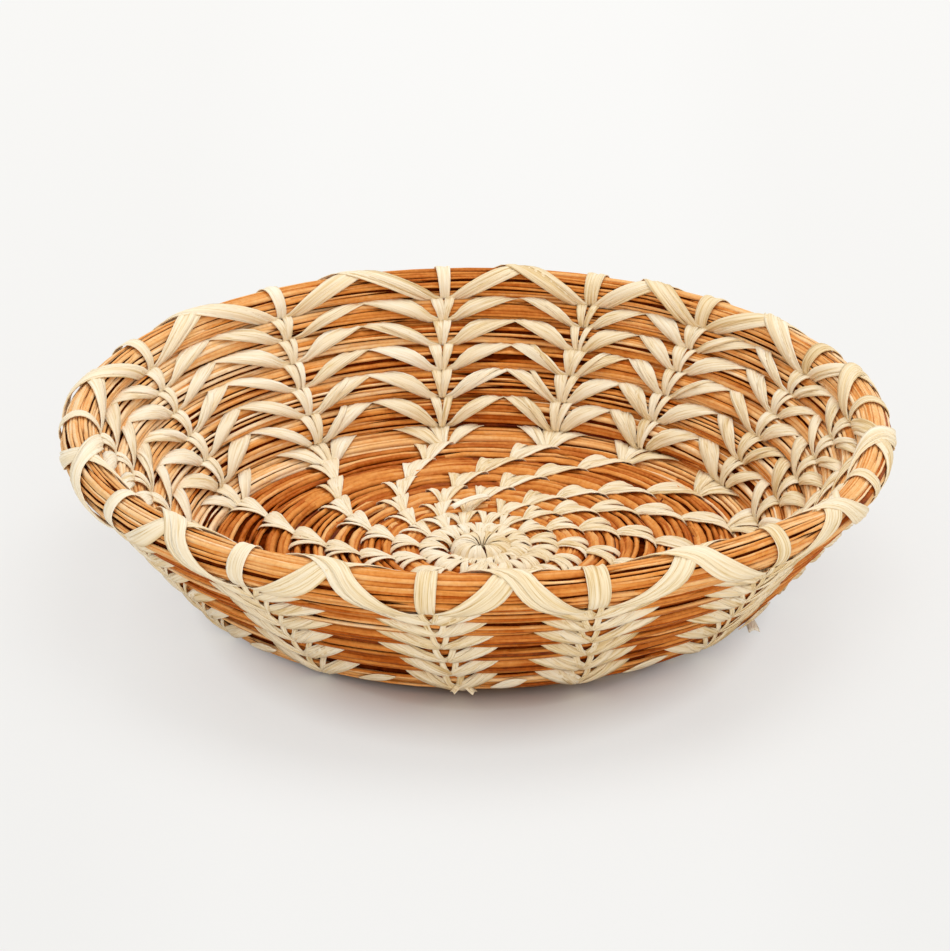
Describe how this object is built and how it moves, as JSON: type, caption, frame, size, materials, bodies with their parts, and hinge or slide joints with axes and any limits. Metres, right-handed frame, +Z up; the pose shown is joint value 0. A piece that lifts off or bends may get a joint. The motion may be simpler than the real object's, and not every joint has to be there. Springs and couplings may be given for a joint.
{
  "type": "pine needle basket",
  "caption": "Shallow flared bowl coiled from one spiral of brown pine needle bundles and sewn in radiating spokes with pale raffia, on a flat coiled base",
  "frame": {"origin": "middle of the flat underside of the start knot, at the centre of the base, on the surface the basket stands on", "axes": "+Z up out of the bowl's mouth; +X to the right and -Y towards the viewer of the picture; the coil winds outwards counter-clockwise seen from above"},
  "size_m": [0.2284, 0.2312, 0.049],
  "materials": {
    "pine_needles": "dry orange-brown needles lying side by side, with a slight sheen",
    "raffia": "flat cream raffia strips, matte, with fine lengthwise fibres"
  },
  "bodies": {
    "root": {"start_knot": "raffia", "base_coil": "pine_needles", "wall_coil": "pine_needles", "rim_coil": "pine_needles", "base_stitches_01": "raffia", "base_stitches_02": "raffia", "base_stitches_03": "raffia", "base_stitches_04": "raffia", "base_stitches_05": "raffia", "base_stitches_06": "raffia", "base_stitches_07": "raffia", "base_stitches_08": "raffia", "base_stitches_09": "raffia", "base_stitches_10": "raffia", "base_stitches_11": "raffia", "base_stitches_12": "raffia", "base_stitches_13": "raffia", "base_stitches_14": "raffia", "wall_stitches_01": "raffia", "wall_stitches_02": "raffia", "wall_stitches_03": "raffia", "wall_stitches_04": "raffia", "wall_stitches_05": "raffia", "wall_stitches_06": "raffia", "wall_stitches_07": "raffia", "wall_stitches_08": "raffia", "wall_stitches_09": "raffia", "wall_stitches_10": "raffia", "wall_stitches_11": "raffia", "wall_stitches_12": "raffia", "wall_stitches_13": "raffia", "wall_stitches_14": "raffia"}
  },
  "joints": []
}
